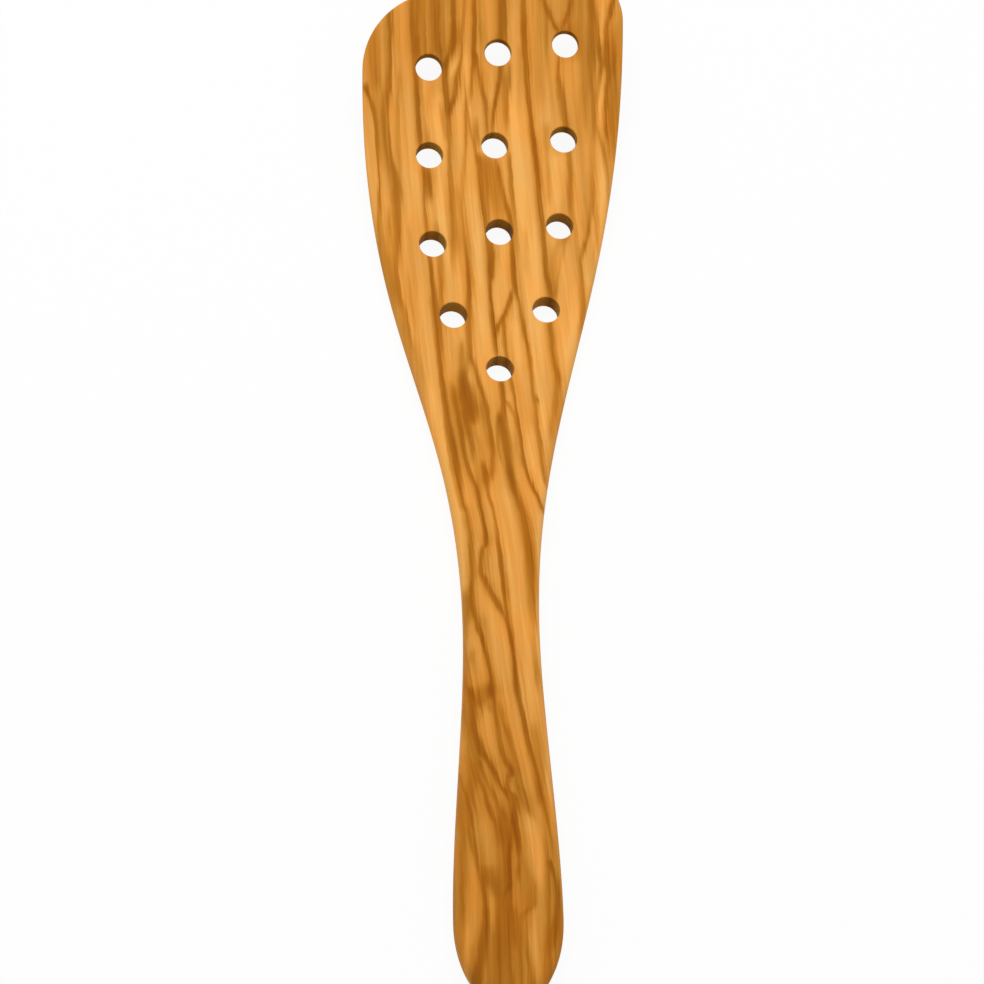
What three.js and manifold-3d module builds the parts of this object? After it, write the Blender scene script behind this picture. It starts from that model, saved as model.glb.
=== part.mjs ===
// A one-piece olive wood spatula: a slim rounded handle, a blade that spreads and curls up to a
// slanted tip, and five rows of round drain holes drilled square to the flat back.

import * as THREE from "three";
import { mergeVertices } from "three/addons/utils/BufferGeometryUtils.js";
import Module from "manifold-3d";

const { clamp, degToRad } = THREE.MathUtils;

// Driving dimensions, in millimetres and degrees. "Along" is measured up the back of the spatula from
// the butt of the handle, following its curve, and x runs across to the right of the handle's axis.

// Outline
const LENGTH = 320; // along, from the butt to the far corner of the tip
const BUTT_LENGTH = 24; // the half ellipse that ends the handle
const GRIP_WIDTH = 30;
const GRIP_EASE = 26; // pull of the curve from the grip to the neck, at both its ends
const NECK_ALONG = 108;
const NECK_WIDTH = 21.4;
const NECK_EASE = 72; // pull of the shoulder curve where it leaves the neck
const BLADE_EASE = 87; // pull of the shoulder curve where it joins the blade's corner
const BLADE_WIDTH = 78.8;
const BLADE_OFFSET = 1.1; // the blade's middle lies this far right of the handle's axis
const TIP_SLANT = 13;
const LONG_CORNER_RADIUS = 16;
const SHORT_CORNER_RADIUS = 25;

// Side view
const BEND_FROM_TIP = 123; // where the back leaves the plane that it rests on
const BEND_RADIUS = 340;
const BEND_ANGLE = 15;
const BUTT_THICKNESS = 10.5;
const NECK_THICKNESS = 11.5;
const ROOT_THICKNESS = 6.8;
const ROOT_FROM_TIP = 130;
const MIDDLE_THICKNESS = 5.9;
const MIDDLE_FROM_TIP = 85;
const FRONT_THICKNESS = 2.4;
const FRONT_FROM_TIP = 28;
const TIP_THICKNESS = 1.6;
const EDGE_RADIUS = 4; // the rounded-over edges
const EDGE_SHARE = 0.45; // most of the wood's thickness that one rounded edge may take

// Drain holes: each row's distance from the tip, how far its middle lies right of the handle's axis, the
// wood left beside the middles of its outer holes, its slant, and how far its middle hole lies ahead of
// the line between the outer ones and to the right of halfway.
const HOLE_DIAMETER = 8;
const HOLE_ROWS = [
  { holes: 3, fromTip: 28.8, middle: 2.2, margin: 18.4, slant: 12, ahead: 1, aside: 0.2 },
  { holes: 3, fromTip: 58.1, middle: 1.9, margin: 17.6, slant: 9, ahead: 0.6, aside: -0.6 },
  { holes: 3, fromTip: 86.6, middle: 1.4, margin: 14.9, slant: 10.4, ahead: 1, aside: 0.9 },
  { holes: 2, fromTip: 111.7, middle: 2, margin: 14.6, slant: 5.3, ahead: 0, aside: 0 },
  { holes: 1, fromTip: 130.2, middle: 1.6, margin: 0, slant: 0, ahead: 0, aside: 0 },
];

// Fineness of the facets
const BUTT_STEPS = 10;
const GRIP_STEPS = 10;
const SHOULDER_STEPS = 28;
const CORNER_STEPS = 10;
const EDGE_STEPS = 4;
const ACROSS_STEPS = 4;
const HOLE_SIDES = 32;

const wasm = await Module();
wasm.setup();

const bendAlong = LENGTH - BEND_FROM_TIP;
const bendAngle = degToRad(BEND_ANGLE);
const tipSlant = degToRad(TIP_SLANT);

// The two round corners of the tip: both touch the blade's side and the slanted edge of the tip.
const tipNormal = new THREE.Vector2(-Math.sin(tipSlant), Math.cos(tipSlant));
const longCorner = new THREE.Vector2(
  BLADE_OFFSET + BLADE_WIDTH / 2 - LONG_CORNER_RADIUS,
  LENGTH - LONG_CORNER_RADIUS,
);
const tipReach = longCorner.dot(tipNormal) + LONG_CORNER_RADIUS;
const shortCorner = new THREE.Vector2(BLADE_OFFSET - BLADE_WIDTH / 2 + SHORT_CORNER_RADIUS, 0);
shortCorner.y = (tipReach - SHORT_CORNER_RADIUS - tipNormal.x * shortCorner.x) / tipNormal.y;

// One side of the outline, from the butt to the end of the tip's corner. side is 1 on the right and
// -1 on the left.
function sidePath(side, corner, cornerRadius) {
  const grip = (side * GRIP_WIDTH) / 2;
  const neck = (side * NECK_WIDTH) / 2;
  const blade = corner.x + side * cornerRadius;
  const outward = side > 0 ? 0 : Math.PI;
  const path = new THREE.Path();
  path.absellipse(0, BUTT_LENGTH, GRIP_WIDTH / 2, BUTT_LENGTH, -Math.PI / 2, outward, side < 0);
  path.bezierCurveTo(grip, BUTT_LENGTH + GRIP_EASE, neck, NECK_ALONG - GRIP_EASE, neck, NECK_ALONG);
  path.bezierCurveTo(neck, NECK_ALONG + NECK_EASE, blade, corner.y - BLADE_EASE, blade, corner.y);
  path.absarc(corner.x, corner.y, cornerRadius, outward, Math.PI / 2 + tipSlant, side < 0);
  return path;
}

// The points of one side, each with the direction that leads into the wood.
function sidePoints(side, corner, cornerRadius) {
  const steps = [BUTT_STEPS, GRIP_STEPS, SHOULDER_STEPS, CORNER_STEPS];
  const curves = sidePath(side, corner, cornerRadius).curves;
  const points = [{ at: new THREE.Vector2(0, 0), inward: new THREE.Vector2(0, 1) }];
  curves.forEach((curve, index) => {
    for (let step = 1; step <= steps[index]; step += 1) {
      const part = step / steps[index];
      const tangent = curve.getTangent(part);
      const inward = new THREE.Vector2(-side * tangent.y, side * tangent.x);
      points.push({ at: curve.getPoint(part), inward });
    }
  });
  return points;
}

const right = sidePoints(1, longCorner, LONG_CORNER_RADIUS);
const left = sidePoints(-1, shortCorner, SHORT_CORNER_RADIUS);

// The wood's thickness, square to the back, follows a smooth curve through the named places.
const thicknessCurve = new THREE.CubicInterpolant(
  [0, NECK_ALONG, LENGTH - ROOT_FROM_TIP, LENGTH - MIDDLE_FROM_TIP, LENGTH - FRONT_FROM_TIP, LENGTH],
  [BUTT_THICKNESS, NECK_THICKNESS, ROOT_THICKNESS, MIDDLE_THICKNESS, FRONT_THICKNESS, TIP_THICKNESS],
  1,
);

function thicknessAt(along) {
  return thicknessCurve.evaluate(clamp(along, 0, LENGTH))[0];
}

// A point of the spatula from its place in the flattened outline and its height over the back, which
// is straight, then bends up in an arc, then runs straight again.
function place(x, along, height) {
  const turned = clamp((along - bendAlong) / BEND_RADIUS, 0, bendAngle);
  const before = Math.min(along, bendAlong);
  const beyond = Math.max(0, along - bendAlong - BEND_RADIUS * bendAngle);
  const y = before + (BEND_RADIUS - height) * Math.sin(turned) + beyond * Math.cos(turned);
  const z = BEND_RADIUS - (BEND_RADIUS - height) * Math.cos(turned) + beyond * Math.sin(turned);
  return new THREE.Vector3(x, y, z);
}

// A point on the rounded edge: ring 0 is the outline itself, and the last ring is where the edge has
// run out into the flat. drop is how far the edge falls away from the flat there.
function edgePoint({ at, inward }, ring) {
  const radius = Math.min(EDGE_RADIUS, EDGE_SHARE * thicknessAt(at.y));
  const angle = ((ring / EDGE_STEPS) * Math.PI) / 2;
  const inset = radius * (1 - Math.cos(angle));
  return { at: at.clone().addScaledVector(inward, inset), drop: radius * (1 - Math.sin(angle)) };
}

// One section across the wood, from edge to edge. Past lastRing the edge's rings fall together, which
// closes the wood step by step along the tip's edge.
function section(index, lastRing) {
  const rings = Array.from({ length: EDGE_STEPS + 1 }, (_, ring) => Math.min(ring, lastRing));
  const leftEdge = rings.map((ring) => edgePoint(left[index], ring));
  const rightEdge = rings.map((ring) => edgePoint(right[index], ring));
  const from = leftEdge[EDGE_STEPS];
  const to = rightEdge[EDGE_STEPS];
  const inner = Array.from({ length: ACROSS_STEPS - 1 }, (_, step) => {
    const part = (step + 1) / ACROSS_STEPS;
    const drop = from.drop + (to.drop - from.drop) * part;
    return { at: from.at.clone().lerp(to.at, part), drop };
  });
  return [...leftEdge, ...inner, ...rightEdge.reverse()];
}

// The whole blank before drilling: top and back skins over all sections, closed by walls at the sides
// and at the tip.
function blankGeometry() {
  const last = right.length - 1;
  const sections = right.map((_, index) => section(index, EDGE_STEPS));
  for (let ring = EDGE_STEPS - 1; ring >= 0; ring -= 1) {
    sections.push(section(last, ring));
  }
  const top = sections.map((points) =>
    points.map(({ at, drop }) => place(at.x, at.y, thicknessAt(at.y) - drop)),
  );
  const back = sections.map((points) => points.map(({ at, drop }) => place(at.x, at.y, drop)));
  const corners = [];
  const quad = (a, b, c, d) => corners.push(a, b, c, a, c, d);
  const width = top[0].length;
  for (let row = 1; row < sections.length; row += 1) {
    for (let column = 1; column < width; column += 1) {
      quad(top[row - 1][column - 1], top[row - 1][column], top[row][column], top[row][column - 1]);
      quad(back[row - 1][column], back[row - 1][column - 1], back[row][column - 1], back[row][column]);
    }
    quad(back[row - 1][0], top[row - 1][0], top[row][0], back[row][0]);
    quad(top[row - 1][width - 1], back[row - 1][width - 1], back[row][width - 1], top[row][width - 1]);
  }
  const end = sections.length - 1;
  for (let column = 1; column < width; column += 1) {
    quad(top[end][column - 1], top[end][column], back[end][column], back[end][column - 1]);
  }
  return new THREE.BufferGeometry().setFromPoints(corners);
}

// A closed solid from a geometry, with its shared vertices merged and its empty triangles left out.
function solid(geometry) {
  const bare = geometry.clone();
  bare.deleteAttribute("normal");
  bare.deleteAttribute("uv");
  const merged = mergeVertices(bare);
  const index = merged.index.array;
  const triangles = [];
  for (let i = 0; i < index.length; i += 3) {
    const [a, b, c] = index.slice(i, i + 3);
    if (a !== b && b !== c && c !== a) {
      triangles.push(a, b, c);
    }
  }
  const vertProperties = new Float32Array(merged.attributes.position.array);
  const triVerts = new Uint32Array(triangles);
  return new wasm.Manifold(new wasm.Mesh({ numProp: 3, vertProperties, triVerts }));
}

// Half the blade's width at a distance along, read off both sides of the outline.
function halfWidthAt(along) {
  const reach = (points) => {
    const next = points.findIndex((point) => point.at.y > along);
    const a = points[next - 1].at;
    const b = points[next].at;
    return a.x + ((b.x - a.x) * (along - a.y)) / (b.y - a.y);
  };
  return (reach(right) - reach(left)) / 2;
}

// Where the drill goes through: the middle of the wood under each hole.
function holeCentres() {
  return HOLE_ROWS.flatMap(({ holes, fromTip, middle, margin, slant, ahead, aside }) => {
    const rowAlong = LENGTH - fromTip;
    const spread = halfWidthAt(rowAlong) - margin;
    return Array.from({ length: holes }, (_, hole) => {
      const across = holes > 1 ? (2 * hole) / (holes - 1) - 1 : 0;
      const between = 1 - Math.abs(across);
      const x = middle + across * spread + aside * between;
      const along = rowAlong + across * spread * Math.tan(degToRad(slant)) + ahead * between;
      return place(x, along, thicknessAt(along) / 2);
    });
  });
}

// The drilled spatula, set over the origin by the middle of its box, with its back on the ground.
function spatulaGeometry() {
  const blank = blankGeometry();
  blank.computeBoundingBox();
  const drillLength = 2 * blank.boundingBox.max.z;
  const drill = new THREE.CylinderGeometry(HOLE_DIAMETER / 2, HOLE_DIAMETER / 2, drillLength, HOLE_SIDES);
  drill.rotateX(Math.PI / 2);
  let body = solid(blank);
  for (const centre of holeCentres()) {
    body = body.subtract(solid(drill.clone().translate(centre.x, centre.y, centre.z)));
  }
  const mesh = body.getMesh();
  const geometry = new THREE.BufferGeometry();
  geometry.setAttribute("position", new THREE.BufferAttribute(mesh.vertProperties, 3));
  geometry.setIndex(new THREE.BufferAttribute(mesh.triVerts, 1));
  geometry.computeBoundingBox();
  const box = geometry.boundingBox;
  geometry.translate(-(box.min.x + box.max.x) / 2, -(box.min.y + box.max.y) / 2, -box.min.z);
  geometry.computeVertexNormals();
  return geometry;
}

const oliveWood = new THREE.MeshStandardMaterial({ color: 0xd59543, roughness: 0.55, metalness: 0 });

const spatula = new THREE.Mesh(spatulaGeometry(), oliveWood);
spatula.name = "spatula";

const object = new THREE.Group();
object.add(spatula);

export default object;
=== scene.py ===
from math import cos, pi, radians, sin, tan

import bpy
from mathutils import Matrix, Vector


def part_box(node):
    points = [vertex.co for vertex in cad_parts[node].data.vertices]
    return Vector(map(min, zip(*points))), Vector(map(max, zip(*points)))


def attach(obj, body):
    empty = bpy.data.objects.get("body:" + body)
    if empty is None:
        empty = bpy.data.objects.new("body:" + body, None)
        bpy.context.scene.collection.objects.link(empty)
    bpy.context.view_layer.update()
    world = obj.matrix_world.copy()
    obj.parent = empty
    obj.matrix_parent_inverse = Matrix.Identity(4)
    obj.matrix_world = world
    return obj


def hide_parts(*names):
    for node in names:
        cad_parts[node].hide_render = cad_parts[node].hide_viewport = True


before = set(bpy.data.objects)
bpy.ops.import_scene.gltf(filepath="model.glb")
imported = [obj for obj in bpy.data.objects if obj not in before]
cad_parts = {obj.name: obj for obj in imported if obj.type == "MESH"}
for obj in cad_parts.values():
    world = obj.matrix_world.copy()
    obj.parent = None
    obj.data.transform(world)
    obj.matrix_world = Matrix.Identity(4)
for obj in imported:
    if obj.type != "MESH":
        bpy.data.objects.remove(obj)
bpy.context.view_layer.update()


# The blank: one board of olive wood, sawn to the outline, planed thinner towards the tip, rounded over
# along every edge and curled up at the blade. The board is one sheet of faces, wrapped round the
# section from the left edge over the top and back under, with one row for each rib across the wood.

# Outline, in metres: along runs up the back from the butt, x across from the handle's axis
LENGTH = 0.320
BUTT_LENGTH = 0.024
GRIP_WIDTH = 0.030
GRIP_EASE = 0.026
NECK_ALONG = 0.108
NECK_WIDTH = 0.0214
NECK_EASE = 0.072
BLADE_EASE = 0.087
BLADE_WIDTH = 0.0788
BLADE_OFFSET = 0.0011
TIP_SLANT = radians(13)
LONG_CORNER_RADIUS = 0.016
SHORT_CORNER_RADIUS = 0.025

# Side view: the curl of the blade, the thickness at places along the back, and the rounding of the edges,
# which takes up no more than a share of the thickness
BEND_ALONG = 0.197
BEND_RADIUS = 0.340
BEND_ANGLE = radians(15)
THICKNESSES = ((0, 0.0105), (0.108, 0.0115), (0.190, 0.0068), (0.235, 0.0059), (0.292, 0.0024),
               (0.320, 0.0016))
EDGE_RADIUS = 0.004
EDGE_SHARE = 0.45

# Rows of ribs on the butt, grip, shoulder and corners, and columns of faces round the section
BUTT_ROWS = 22
GRIP_ROWS = 40
SHOULDER_ROWS = 96
CORNER_ROWS = 22
EDGE_COLUMNS = 7
FACE_COLUMNS = 26
# Points closer than the first are one point, and edges shorter than the second are taken out
WELD = 1e-6
SLIVER = 1e-7

low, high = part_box("spatula")
# The handle's axis and the butt, from the box: the blade reaches out to its left side, the butt to its end
AXIS_X = (low.x + high.x) / 2 - BLADE_OFFSET
BUTT_Y = low.y


def thickness_at(along):
    """Thickness of the wood, on a smooth curve through the named places."""
    places = THICKNESSES
    step = next((i for i in range(1, len(places) - 1) if along < places[i][0]), len(places) - 1)
    slopes = []
    for i in (step - 1, step):
        before = places[max(i - 1, 0)]
        after = places[min(i + 1, len(places) - 1)]
        slopes.append((after[1] - before[1]) / (after[0] - before[0]))
    (start, first), (end, last) = places[step - 1], places[step]
    span = end - start
    part = min(max((along - start) / span, 0), 1)
    rise = part * part * (3 - 2 * part)
    lead_in = part * (1 - part) ** 2 * span * slopes[0]
    lead_out = part * part * (part - 1) * span * slopes[1]
    return first + (last - first) * rise + lead_in + lead_out


def curled(x, along, height):
    """Where a point of the flat board lies once the blade is curled up."""
    turned = min(max((along - BEND_ALONG) / BEND_RADIUS, 0), BEND_ANGLE)
    beyond = max(0, along - BEND_ALONG - BEND_RADIUS * BEND_ANGLE)
    y = min(along, BEND_ALONG) + (BEND_RADIUS - height) * sin(turned) + beyond * cos(turned)
    z = BEND_RADIUS - (BEND_RADIUS - height) * cos(turned) + beyond * sin(turned)
    return Vector((AXIS_X + x, BUTT_Y + y, z))


def ease_curve(start, end, ease_out, ease_in, part):
    """A point on a curve that leaves and arrives straight along the wood, and its direction."""
    pull_out = Vector((start.x, start.y + ease_out))
    pull_in = Vector((end.x, end.y - ease_in))
    rest = 1 - part
    point = rest**3 * start + 3 * rest**2 * part * pull_out + 3 * rest * part**2 * pull_in + part**3 * end
    way = rest**2 * (pull_out - start) + 2 * rest * part * (pull_in - pull_out) + part**2 * (end - pull_in)
    return point, way.normalized()


def side_points(side, corner, radius):
    """One side of the outline from the butt to the tip, each point with the way into the wood."""
    points = []
    grip = Vector((side * GRIP_WIDTH / 2, BUTT_LENGTH))
    neck = Vector((side * NECK_WIDTH / 2, NECK_ALONG))
    blade = Vector((corner.x + side * radius, corner.y))
    for row in range(BUTT_ROWS):
        turn = pi / 2 * row / BUTT_ROWS
        point = Vector((grip.x * sin(turn), BUTT_LENGTH * (1 - cos(turn))))
        way = Vector((grip.x * cos(turn), BUTT_LENGTH * sin(turn))).normalized()
        points.append((point, way))
    for row in range(GRIP_ROWS):
        points.append(ease_curve(grip, neck, GRIP_EASE, GRIP_EASE, row / GRIP_ROWS))
    for row in range(SHOULDER_ROWS):
        points.append(ease_curve(neck, blade, NECK_EASE, BLADE_EASE, row / SHOULDER_ROWS))
    for row in range(CORNER_ROWS + 1):
        turn = (pi / 2 + side * TIP_SLANT) * row / CORNER_ROWS
        point = corner + radius * Vector((side * cos(turn), sin(turn)))
        points.append((point, Vector((-side * sin(turn), cos(turn)))))
    return [(point, Vector((-side * way.y, side * way.x))) for point, way in points]


tip_normal = Vector((-sin(TIP_SLANT), cos(TIP_SLANT)))
long_corner = Vector((BLADE_OFFSET + BLADE_WIDTH / 2 - LONG_CORNER_RADIUS, LENGTH - LONG_CORNER_RADIUS))
tip_reach = long_corner.dot(tip_normal) + LONG_CORNER_RADIUS
short_x = BLADE_OFFSET - BLADE_WIDTH / 2 + SHORT_CORNER_RADIUS
short_y = (tip_reach - SHORT_CORNER_RADIUS - tip_normal.x * short_x) / tip_normal.y
short_corner = Vector((short_x, short_y))
right_side = side_points(1, long_corner, LONG_CORNER_RADIUS)
left_side = side_points(-1, short_corner, SHORT_CORNER_RADIUS)


def edge_point(side_point, turn):
    """A point of the rounded edge: turn 0 is the outline, a quarter turn is where the flat begins."""
    point, inward = side_point
    radius = min(EDGE_RADIUS, EDGE_SHARE * thickness_at(point.y))
    return point + radius * (1 - cos(turn)) * inward, radius * (1 - sin(turn))


def half_section(row, last_turn):
    """The top of one rib from edge to edge, as points of the outline with their drop from the flat."""
    turns = [min(pi / 2 * step / EDGE_COLUMNS, last_turn) for step in range(EDGE_COLUMNS + 1)]
    left_edge = [edge_point(left_side[row], turn) for turn in turns]
    right_edge = [edge_point(right_side[row], turn) for turn in turns]
    (from_point, from_drop), (to_point, to_drop) = left_edge[-1], right_edge[-1]
    flat = []
    for step in range(1, FACE_COLUMNS):
        part = step / FACE_COLUMNS
        flat.append((from_point.lerp(to_point, part), from_drop + (to_drop - from_drop) * part))
    return left_edge + flat + right_edge[::-1]


# The tip's edge is rounded too: past the last rib the ribs draw in step by step to the outline
ribs = [half_section(row, pi / 2) for row in range(len(right_side))]
ribs += [half_section(-1, pi / 2 * step / EDGE_COLUMNS) for step in reversed(range(EDGE_COLUMNS))]
places = []
for rib in ribs:
    top = [curled(at.x, at.y, thickness_at(at.y) - drop) for at, drop in rib]
    back = [curled(at.x, at.y, drop) for at, drop in rib]
    places.append(top + back[::-1] + top[:1])
# The last row closes the narrow face that is left along the outline of the tip
places.append([(a + b) / 2 for a, b in zip(places[-1], places[-1][::-1])])

bpy.ops.object.select_all(action="DESELECT")
columns = len(places[0])
bpy.ops.mesh.primitive_grid_add(x_subdivisions=columns - 1, y_subdivisions=len(places) - 1, size=1)
spatula = bpy.context.object
spatula.name = "olive_wood_spatula"
for vertex in spatula.data.vertices:
    row, column = divmod(vertex.index, columns)
    vertex.co = places[row][column]
bpy.ops.object.mode_set(mode="EDIT")
bpy.ops.mesh.select_all(action="SELECT")
bpy.ops.mesh.remove_doubles(threshold=WELD)
bpy.ops.mesh.dissolve_degenerate(threshold=SLIVER)
bpy.ops.mesh.normals_make_consistent(inside=False)
bpy.ops.object.mode_set(mode="OBJECT")


# The drain holes: twelve straight holes drilled down through the blade in five rows that follow the
# slant of the tip, each rim eased by a touch of sandpaper on both faces.
HOLE_RADIUS = 0.004
HOLE_SIDES = 56
DRILL_REACH = 0.010
# The eased rim is a small round: how far in its middle lies from wall and face, and how far out and over the
# face its last slope runs on
RIM_EASE = 0.0004
RIM_MIDDLE = 0.29 * RIM_EASE
RIM_OUT = 1.5 * RIM_EASE
RIM_OVER = 0.21 * RIM_EASE
# Steps that bring a height on the curl to rest, and the angle past which two faces meet in a crease
SETTLING_STEPS = 6
CREASE_ANGLE = radians(20)
# Each row: how many holes, then in metres its distance from the tip, how far its middle lies right of the
# handle's axis, the wood left beside the middles of its outer holes, its slant, and how far its middle
# hole lies ahead and to the right
HOLE_ROWS = (
    (3, 0.0288, 0.0022, 0.0184, radians(12), 0.001, 0.0002),
    (3, 0.0581, 0.0019, 0.0176, radians(9), 0.0006, -0.0006),
    (3, 0.0866, 0.0014, 0.0149, radians(10.4), 0.001, 0.0009),
    (2, 0.1117, 0.002, 0.0146, radians(5.3), 0, 0),
    (1, 0.1302, 0.0016, 0, 0, 0, 0),
)


def side_x(side, along):
    """How far across one side of the outline lies at a distance along."""
    step = next(i for i in range(1, len(side)) if side[i][0].y > along)
    before, after = side[step - 1][0], side[step][0]
    return before.x + (after.x - before.x) * (along - before.y) / (after.y - before.y)


def along_at(y, share):
    """Distance along at which the wood has this y, at a share of its thickness above the back."""
    along = y - BUTT_Y
    for _ in range(SETTLING_STEPS):
        along += y - curled(0, along, share * thickness_at(along)).y
    return along


def face_height(y, share):
    """Height of the back (share 0) or of the top (share 1) at this y."""
    along = along_at(y, share)
    return curled(0, along, share * thickness_at(along)).z


hole_axes = []
for holes, from_tip, row_middle, margin, slant, ahead, aside in HOLE_ROWS:
    row_along = LENGTH - from_tip
    spread = (side_x(right_side, row_along) - side_x(left_side, row_along)) / 2 - margin
    for hole in range(holes):
        across = 2 * hole / (holes - 1) - 1 if holes > 1 else 0
        between = 1 - abs(across)
        along = row_along + across * spread * tan(slant) + ahead * between
        x = row_middle + across * spread + aside * between
        hole_axes.append(curled(x, along, thickness_at(along) / 2).xy)

# The drill's rings, from under the back to over the top: which face, height over it, extra radius
DRILL_RINGS = (
    (0, -DRILL_REACH, RIM_OUT),
    (0, -RIM_OVER, RIM_OUT),
    (0, RIM_MIDDLE, RIM_MIDDLE),
    (0, RIM_EASE, 0),
    (1, -RIM_EASE, 0),
    (1, -RIM_MIDDLE, RIM_MIDDLE),
    (1, RIM_OVER, RIM_OUT),
    (1, DRILL_REACH, RIM_OUT),
)
drills = []
for axis in hole_axes:
    bpy.ops.object.select_all(action="DESELECT")
    bpy.ops.mesh.primitive_circle_add(vertices=HOLE_SIDES, radius=HOLE_RADIUS, fill_type="NGON")
    drill = bpy.context.object
    bpy.ops.object.mode_set(mode="EDIT")
    for _ in DRILL_RINGS[1:]:
        bpy.ops.mesh.extrude_region_move(TRANSFORM_OT_translate={"value": (0, 0, RIM_EASE)})
    bpy.ops.mesh.select_all(action="SELECT")
    bpy.ops.mesh.normals_make_consistent(inside=False)
    bpy.ops.object.mode_set(mode="OBJECT")
    for vertex in drill.data.vertices:
        face, height, extra = DRILL_RINGS[round(vertex.co.z / RIM_EASE)]
        spot = axis + (HOLE_RADIUS + extra) * vertex.co.xy.normalized()
        vertex.co = (spot.x, spot.y, face_height(spot.y, face) + height)
    drills.append(drill)
for drill in drills:
    drill.select_set(True)
bpy.ops.object.join()
drill = bpy.context.object
bpy.context.view_layer.objects.active = spatula
bpy.ops.object.modifier_add(type="BOOLEAN")
drilling = spatula.modifiers[-1]
drilling.operation = "DIFFERENCE"
drilling.solver = "EXACT"
drilling.object = drill
bpy.ops.object.modifier_apply(modifier=drilling.name)
bpy.data.objects.remove(drill)

bpy.ops.object.select_all(action="DESELECT")
spatula.select_set(True)
bpy.context.view_layer.objects.active = spatula
bpy.ops.object.shade_smooth_by_angle(angle=CREASE_ANGLE)

# The drilled walls are marked face by face, because they are painted darker: partly their own end grain and
# partly painted shade inside the holes
drilled = spatula.data.attributes.new("drilled", "FLOAT", "FACE")
for face in spatula.data.polygons:
    nearest = min((face.center.xy - axis).length for axis in hole_axes)
    drilled.data[face.index].value = 1 if nearest < HOLE_RADIUS + RIM_EASE / 2 else 0


# The wood itself: oiled olive wood, golden with dark growth lines that wave up the handle, fork round
# small knots and run out over the blade. The lines go down through the board at a slant, so the back
# and the sides show them in other places.
MILLIMETRES = 1000
# How far the grain moves across and along for each millimetre of depth
GRAIN_SLANT = -0.45
GRAIN_DRIFT = 1.5
# Tones of the wood from the darkest growth line to the palest early wood, in linear light
WOOD_TONES = (
    (0.0, (0.300, 0.086, 0.0031, 1)),
    (0.25, (0.424, 0.141, 0.0086, 1)),
    (0.5, (0.590, 0.232, 0.0275, 1)),
    (0.75, (0.762, 0.325, 0.0595, 1)),
    (1.0, (0.904, 0.435, 0.103, 1)),
)
# How pale the wood between the lines is, from the butt to the tip, in millimetres along y: partly the wood's
# own tone and partly painted shade, which darkens the handle towards the butt and the blade towards the tip
PALENESS_AND_SHADE = ((-160, 0.46), (-120, 0.5), (-85, 0.655), (-50, 0.76), (0, 0.79), (60, 0.84), (100, 0.84),
            (125, 0.735), (160, 0.69))
# How far the grain leads to the right on its way down, from the tip to the butt
GRAIN_COURSE = ((160, -25), (128, -24), (100, -22), (75, -20), (50, -17.8), (25, -16), (0, -13), (-25, -9),
                (-45, -7.5), (-67, -5.2), (-90, -2), (-111, 2), (-125, 2.8), (-160, 3))

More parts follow.
